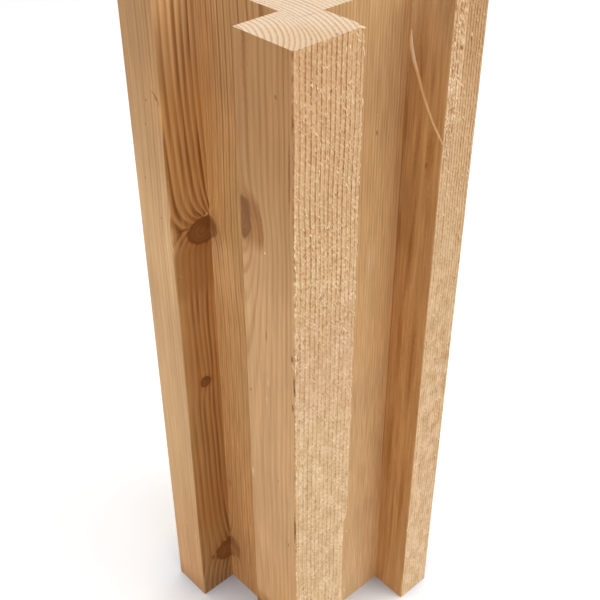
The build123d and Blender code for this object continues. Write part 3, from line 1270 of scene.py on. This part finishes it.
def finish_of(section, face):
    """The finish of a face of the timber, by where it lies and which way it looks."""
    n = face.normal
    x, y, z = face.calc_center_median()
    on_left_wall = abs(y - section.left_start) < 0.6 and x < section.deep
    on_near_wall = abs(x - section.right_start) < 1.0 and x > section.right_start - 0.2 and y < section.deep
    if abs(n.z) > 0.9 and (z < 0.5 or z > section.height - 0.5):
        return "sawn end grain"
    if n.y < -0.5 and y < -section.half + 2.5 and abs(n.y) > abs(n.x):
        return "rough sawn timber"
    if abs(y - section.deep) < 0.6 and x > section.right_start + 0.3 and n.y < -0.5:
        return "right groove floor"
    if abs(x - section.deep) < 0.6 and y > section.left_start + 0.3 and n.x < -0.5:
        return "left groove floor"
    if abs(x - section.right_end) < 0.6:
        return "far groove wall"
    if abs(y - section.left_end) < 0.6 or on_near_wall or on_left_wall:
        return "rubbed groove wall"
    return "planed timber"


def build_timber(sizes):
    """The whole post as one mesh, with its losses and its saw marks."""
    section = Section(sizes)
    bm = draw_timber(section, sizes.row_height / mm)
    wear_timber(bm, section, sizes)
    ends = timber_finishes.index("sawn end grain")
    for face in bm.faces:
        face.material_index = timber_finishes.index(finish_of(section, face))
        face.smooth = face.material_index != ends
    for edge in bm.edges:
        if len(edge.link_faces) == 2 and sum(f.material_index == ends for f in edge.link_faces) == 1:
            edge.smooth = False
    return make_mesh(bm, "timber")


def show(mesh, name, materials):
    """Puts a finished mesh in the scene as a piece of the post."""
    for material in materials:
        mesh.materials.append(material)
    piece = bpy.data.objects.new(name, mesh)
    bpy.context.scene.collection.objects.link(piece)
    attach(piece, "root")
    return piece


def show_fibres(context, mesh, name):
    """Shows a mesh of torn fibre as a piece of the post."""
    ready_finishes(context.scene.post_colours)
    show(mesh, name, [bpy.data.materials["torn fibre"]])
    return {"FINISHED"}


def draw_sliver():
    """The shape of a splinter: 1 long from foot to tip, 1 wide, three-sided, in three lengths."""
    bm = bmesh.new()
    bmesh.ops.create_cone(bm, cap_ends=True, segments=3, radius1=0.5, radius2=0.14, depth=1.0)
    sides = [e for e in bm.edges if abs(e.verts[0].co.z - e.verts[1].co.z) > 0.5]
    bmesh.ops.subdivide_edges(bm, edges=sides, cuts=2)
    bmesh.ops.translate(bm, vec=(0.0, 0.0, 0.5), verts=bm.verts[:])
    return make_mesh(bm, "sliver", 1.0)


def build_slivers(section, slivers):
    """Splinters, each bent away from the face and kept inside the post's own outline."""
    low = Vector((0.01 - section.half, 0.01 - section.half, 0.0))
    high = Vector((section.half, section.half, section.height))
    bm = bmesh.new()
    bm.verts.layers.float.new("tone")
    shape = draw_sliver()
    for foot, tip, outward, width, thick, curl, tone in slivers:
        count = len(bm.verts)
        bm.from_mesh(shape)
        bm.verts.ensure_lookup_table()
        layer = bm.verts.layers.float["tone"]
        foot = Vector(foot)
        along = Vector(tip) - foot
        outward = Vector(outward)
        across = along.cross(outward).normalized()
        for vert in bm.verts[count:]:
            a, b, t = vert.co
            bend = b * thick + curl * math.sin(t * 2.6)
            place = foot + along * t + across * a * width + outward * bend
            vert.co = [clamp(*limits) for limits in zip(place, low, high)]
            vert[layer] = tone
    bpy.data.meshes.remove(shape)
    bmesh.ops.recalc_face_normals(bm, faces=bm.faces[:])
    return make_mesh(bm, "slivers")


def saw_fibres(section, tears, seed):
    """Torn fibres at the upper end of the tears, lying along them."""
    rng = random.Random(seed)
    front = -section.half
    slivers = []
    for x, z, slant, *rest in tears:
        if rng.random() > 0.75:
            continue
        reach = rng.uniform(0.6, 1.5)
        lean = slant * rng.uniform(0.6, 1.4)
        foot = (x - lean * reach + rng.uniform(-0.3, 0.3), front + 0.45, z + reach)
        tip = (x + lean * reach, front + 0.2, z - reach)
        width = rng.uniform(0.9, 1.7)
        slivers.append((foot, tip, (0.0, -1.0, 0.0), width, 0.35, 0.14, rng.uniform(0.70, 0.95)))
    return slivers


def arris_fibres(section, seed):
    """Short torn fibres along both arrises of the near sawn face, clear of the places where wood is lost."""
    rng = random.Random(seed)
    front = -section.half
    slivers = []
    for index in range(110):
        along_right = index % 3 == 2
        z = rng.uniform(165.0, section.height - 4.0) if along_right else rng.uniform(95.0, 412.0)
        below = section.height - z
        if not along_right and (305.0 < below < 348.0 or 172.0 < below < 210.0):
            continue
        reach = rng.uniform(0.5, 1.6)
        x = section.right_start - 0.45 if along_right else front + 0.45
        outward = (0.6 if along_right else -0.6, -0.8, 0.0)
        foot = (x, front + 0.5, z + reach)
        tip = (x + rng.uniform(-0.5, 0.5), front + 0.15, z - reach)
        slivers.append((foot, tip, outward, rng.uniform(0.9, 1.9), 0.45, 0.14, rng.uniform(0.75, 1.05)))
    return slivers


# Splinters, each by foot, tip, outward direction, width, thickness, bend and tone.
splinters = [
    ((-69.8, -72.1, 328.0), (-72.2, -71.9, 323.6), (0.0, -1.0, 0.0), 2.4, 0.7, 0.1, 0.90),
    ((-71.9, -70.4, 323.0), (-72.3, -71.5, 318.6), (-1.0, 0.0, 0.0), 2.2, 0.7, 0.1, 1.02),
    ((-70.9, -71.9, 322.0), (-71.7, -72.2, 317.5), (-0.4, -0.9, 0.0), 1.7, 0.6, 0.1, 0.78),
    ((-72.0, -68.9, 313.0), (-72.1, -71.3, 308.6), (-1.0, 0.0, 0.0), 1.7, 0.6, 0.2, 1.08),
    ((-71.4, -72.1, 314.8), (-72.1, -71.9, 309.6), (-0.7, -0.7, 0.0), 1.5, 0.6, 0.1, 0.95),
    ((-71.7, -71.4, 309.0), (-71.7, -72.1, 305.2), (-0.7, -0.7, 0.0), 1.3, 0.5, 0.1, 0.85),
    ((-72.0, -69.3, 288.0), (-72.3, -70.8, 284.0), (-1.0, 0.0, 0.0), 1.7, 0.5, 0.1, 0.98),
    ((-64.4, -72.0, 286.6), (-63.9, -72.3, 281.4), (0.0, -1.0, 0.0), 1.6, 0.4, 0.1, 1.04),
    ((-27.4, -69.0, 499.8), (-24.4, -71.9, 498.7), (0.0, -0.5, 0.85), 3.4, 0.8, 0.1, 0.86),
    ((-31.0, -72.1, 498.6), (-29.6, -72.3, 495.8), (0.0, -1.0, 0.0), 1.5, 0.5, 0.1, 0.90),
    ((-29.8, -72.1, 494.4), (-27.2, -72.3, 492.6), (0.0, -1.0, 0.0), 1.4, 0.5, 0.1, 0.86),
    ((-34.9, -72.0, 493.2), (-34.8, -72.3, 491.0), (0.0, -1.0, 0.0), 1.6, 0.5, 0.1, 0.96),
    ((-37.6, -72.0, 493.0), (-37.5, -72.3, 490.6), (0.0, -1.0, 0.0), 1.5, 0.5, 0.1, 0.90),
    ((-25.8, -72.0, 490.0), (-25.3, -72.3, 487.4), (0.0, -1.0, 0.0), 1.5, 0.4, 0.1, 0.84),
    ((-44.4, 39.3, 353.6), (-47.6, 39.3, 352.0), (0.0, -1.0, 0.0), 1.3, 0.5, 0.1, 0.62),
    ((-72.3, -48.6, 379.0), (-72.35, -48.4, 377.2), (-1.0, 0.0, 0.0), 1.2, 0.3, 0.05, 1.1),
    ((-72.2, -29.5, 200.4), (-72.3, -31.2, 190.8), (-1.0, 0.0, 0.0), 1.7, 0.5, 0.1, 0.80),
    ((-72.2, 44.0, 486.8), (-72.3, 39.9, 484.2), (-1.0, 0.0, 0.0), 1.1, 0.5, 0.1, 0.75),
]

# The long fibre that a slipped tool raised on the far wall of the right groove: place across and height.
raised_fibre = [
    (-42.7, 472.5),
    (-43.6, 463.0),
    (-46.2, 455.4),
    (-49.6, 448.5),
    (-53.9, 439.0),
    (-58.9, 430.0),
    (-63.4, 423.0),
    (-68.8, 416.2),
    (-72.3, 412.0),
]


def build_raised_fibre(section):
    """A thin ridge along the wall, swept round its path and tapered at both ends."""
    bm = bmesh.new()
    made = bmesh.ops.create_circle(bm, cap_ends=True, segments=8, radius=1.0)
    ring = [vert.co.copy() for vert in made["verts"]]
    face = bm.faces[:]
    verts = bm.verts[:]
    numbers = range(len(verts))
    last = len(raised_fibre) - 1
    for index, (y, z) in enumerate(raised_fibre):
        before = raised_fibre[max(index - 1, 0)]
        after = raised_fibre[min(index + 1, last)]
        along = Vector((0.0, after[0] - before[0], after[1] - before[1])).normalized()
        across = Vector((0.0, along.z, -along.y))
        taper = 0.35 if index in (0, last) else 1.0
        broad = (1.6 - 0.6 * smooth(index, 1.0, 5.0)) * taper
        middle = Vector((section.right_end + 0.05, y, z))
        if index:
            made = bmesh.ops.extrude_face_region(bm, geom=face)["geom"]
            face = [item for item in made if isinstance(item, bmesh.types.BMFace)]
            verts = [item for item in made if isinstance(item, bmesh.types.BMVert)]
            numbers = []
            for vert in verts:
                numbers.append(min(range(len(ring)), key=lambda number: (vert.co - places[number]).length))
        places = []
        for corner in ring:
            outwards = Vector((corner.y * 0.5 * taper, 0.0, 0.0))
            places.append(middle + across * corner.x * broad + outwards)
        for vert, number in zip(verts, numbers):
            vert.co = places[number]
    bmesh.ops.recalc_face_normals(bm, faces=bm.faces[:])
    layer = bm.verts.layers.float.new("tone")
    for vert in bm.verts:
        vert[layer] = 0.64 + 0.2 * smooth(vert.co.z, 440.0, 462.0) + 0.25 * noise.noise(vert.co * 0.4)
        vert.co.y = max(vert.co.y, -section.half + 0.01)
    for item in bm.faces:
        item.smooth = True
    return make_mesh(bm, "raised fibre")


class POST_OT_timber(Operator):
    """Makes the grooved timber with its growth rings, knots, saw marks and worn arrises"""

    bl_idname = "corner_post.timber"
    bl_label = "Timber"

    def execute(self, context):
        mesh = build_timber(context.scene.post_sizes)
        if len(mesh.polygons) < 1000:
            raise RuntimeError("the timber came out with too few faces")
        piece = show(mesh, "timber", ready_finishes(context.scene.post_colours))
        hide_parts("corner_post")
        return {"FINISHED"}


class POST_OT_saw_fibres(Operator):
    """Adds the torn fibres that stand on the rough sawn faces"""

    bl_idname = "corner_post.saw_fibres"
    bl_label = "Saw fibres"

    def execute(self, context):
        sizes = context.scene.post_sizes
        section = Section(sizes)
        near_tears, far_tears = face_tears(sizes)
        slivers = saw_fibres(section, near_tears, 31) + saw_fibres(section, far_tears, 37)
        slivers += arris_fibres(section, 41)
        return show_fibres(context, build_slivers(section, slivers), "saw_fibres")


class POST_OT_splinters(Operator):
    """Adds the splinters on the front arris, at the top corner and in the grooves"""

    bl_idname = "corner_post.splinters"
    bl_label = "Splinters"

    def execute(self, context):
        section = Section(context.scene.post_sizes)
        return show_fibres(context, build_slivers(section, splinters), "splinters")


class POST_OT_raised_fibre(Operator):
    """Adds the long fibre raised on the far wall of the right groove"""

    bl_idname = "corner_post.raised_fibre"
    bl_label = "Raised fibre"

    def execute(self, context):
        section = Section(context.scene.post_sizes)
        return show_fibres(context, build_raised_fibre(section), "raised_fibre")


class POST_OT_studio(Operator):
    """Sets up the pale floor, the soft lights and the camera"""

    bl_idname = "corner_post.studio"
    bl_label = "Studio"

    def execute(self, context):
        scene = context.scene
        scene.view_settings.view_transform = "Standard"
        make_floor(scene)
        make_lights(scene)
        make_camera(scene)
        return {"FINISHED"}


def seen_directly(w):
    """1 for rays that reach the camera straight, by reflection or through glass."""
    rays = w.add("ShaderNodeLightPath").node.outputs
    seen = w.math("MAXIMUM", rays["Is Camera Ray"], rays["Is Glossy Ray"])
    return w.math("MAXIMUM", seen, rays["Is Transmission Ray"])


def make_floor(scene):
    """A pale floor, a little darker and cooler where the post shuts the light out."""
    bm = bmesh.new()
    bmesh.ops.create_grid(bm, x_segments=8, y_segments=8, size=5.0)
    mesh = make_mesh(bm, "floor", 1.0)
    floor = bpy.data.objects.new("floor", mesh)
    scene.collection.objects.link(floor)
    material = bpy.data.materials.new("pale floor")
    material.use_nodes = True
    w = Wiring(material.node_tree)
    shader = w.tree.nodes["Principled BSDF"]
    shader.inputs["Roughness"].default_value = 0.9
    shader.inputs["Specular IOR Level"].default_value = 0.0
    shut_in = w.add("ShaderNodeAmbientOcclusion", [("Distance", 0.042)], output=1, samples=12)
    bright = w.times(w.math("POWER", shut_in, 0.60), 1.22)
    cool = w.blend(shut_in, (0.93, 1.12, 1.36, 1.0), white)
    plain = (0.86, 0.86, 0.86, 1.0)
    pale = w.blend(1.0, cool, bright, "MULTIPLY")
    w.feed(shader.inputs["Base Color"], w.blend(seen_directly(w), plain, pale))
    mesh.materials.append(material)


# Lamps: name, place, side of the square and power.
lamps = [
    ("key", (0.95, -1.60, 1.35), 1.6, 20.0),
    ("fill", (-1.9, -0.70, 1.2), 1.6, 10.0),
    ("top", (0.1, -0.2, 2.4), 1.8, 17.0),
]
lamp_aim = Vector((0.0, 0.0, 0.15))


def make_lights(scene):
    """A white world that lights the post softly, and the lamps."""
    world = bpy.data.worlds.new("studio")
    scene.world = world
    world.use_nodes = True
    w = Wiring(world.node_tree)
    background = w.tree.nodes["Background"]
    background.inputs["Color"].default_value = white
    w.feed(background.inputs["Strength"], w.fade(seen_directly(w), 0.0, 1.0, 0.58, 1.0))
    for name, place, size, power in lamps:
        data = bpy.data.lights.new(name, "AREA")
        data.shape = "SQUARE"
        data.size = size
        data.energy = power
        lamp = bpy.data.objects.new(name, data)
        scene.collection.objects.link(lamp)
        lamp.location = place
        lamp.rotation_euler = (lamp_aim - Vector(place)).to_track_quat("-Z", "Y").to_euler()


def make_camera(scene):
    """The camera, turned by its heading, its pitch down and its roll."""
    data = bpy.data.cameras.new("camera")
    data.sensor_width = 36.0
    data.lens = 59.2
    data.clip_start = 0.02
    data.clip_end = 50.0
    camera = bpy.data.objects.new("camera", data)
    scene.collection.objects.link(camera)
    scene.camera = camera
    heading = math.radians(47.33)
    pitch = math.radians(36.01)
    roll = math.radians(-0.13)
    forward = Vector(
        (math.cos(heading) * math.cos(pitch), math.sin(heading) * math.cos(pitch), -math.sin(pitch))
    )
    right = Vector((math.sin(heading), -math.cos(heading), 0.0))
    down = forward.cross(right)
    turned_right = right * math.cos(roll) - down * math.sin(roll)
    turned_down = right * math.sin(roll) + down * math.cos(roll)
    turn = Matrix((turned_right, -turned_down, -forward)).transposed().to_4x4()
    camera.matrix_world = Matrix.Translation((-0.3637, -0.3925, 0.6737)) @ turn


class POST_PT_sidebar(Panel):
    """Lists the sizes, the colours and the steps"""

    bl_idname = "POST_PT_sidebar"
    bl_label = "Corner post"
    bl_space_type = "VIEW_3D"
    bl_region_type = "UI"
    bl_category = "Corner post"

    def draw(self, context):
        layout = self.layout
        scene = context.scene
        for group in (scene.post_sizes, scene.post_colours):
            box = layout.box()
            for name in group.__annotations__:
                box.prop(group, name)
        for step in steps:
            layout.operator(step.bl_idname)


steps = [POST_OT_studio, POST_OT_timber, POST_OT_saw_fibres, POST_OT_splinters, POST_OT_raised_fibre]
classes = [PostSizes, PostColours, *steps, POST_PT_sidebar]


def register():
    for item in classes:
        bpy.utils.register_class(item)
    bpy.types.Scene.post_sizes = PointerProperty(type=PostSizes)
    bpy.types.Scene.post_colours = PointerProperty(type=PostColours)


def unregister():
    del bpy.types.Scene.post_colours
    del bpy.types.Scene.post_sizes
    for item in reversed(classes):
        bpy.utils.unregister_class(item)


def main():
    """Runs every step in order."""
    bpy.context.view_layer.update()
    register()
    bpy.ops.corner_post.studio()
    bpy.ops.corner_post.timber()
    bpy.ops.corner_post.saw_fibres()
    bpy.ops.corner_post.splinters()
    bpy.ops.corner_post.raised_fibre()


if __name__ == "__main__":
    main()
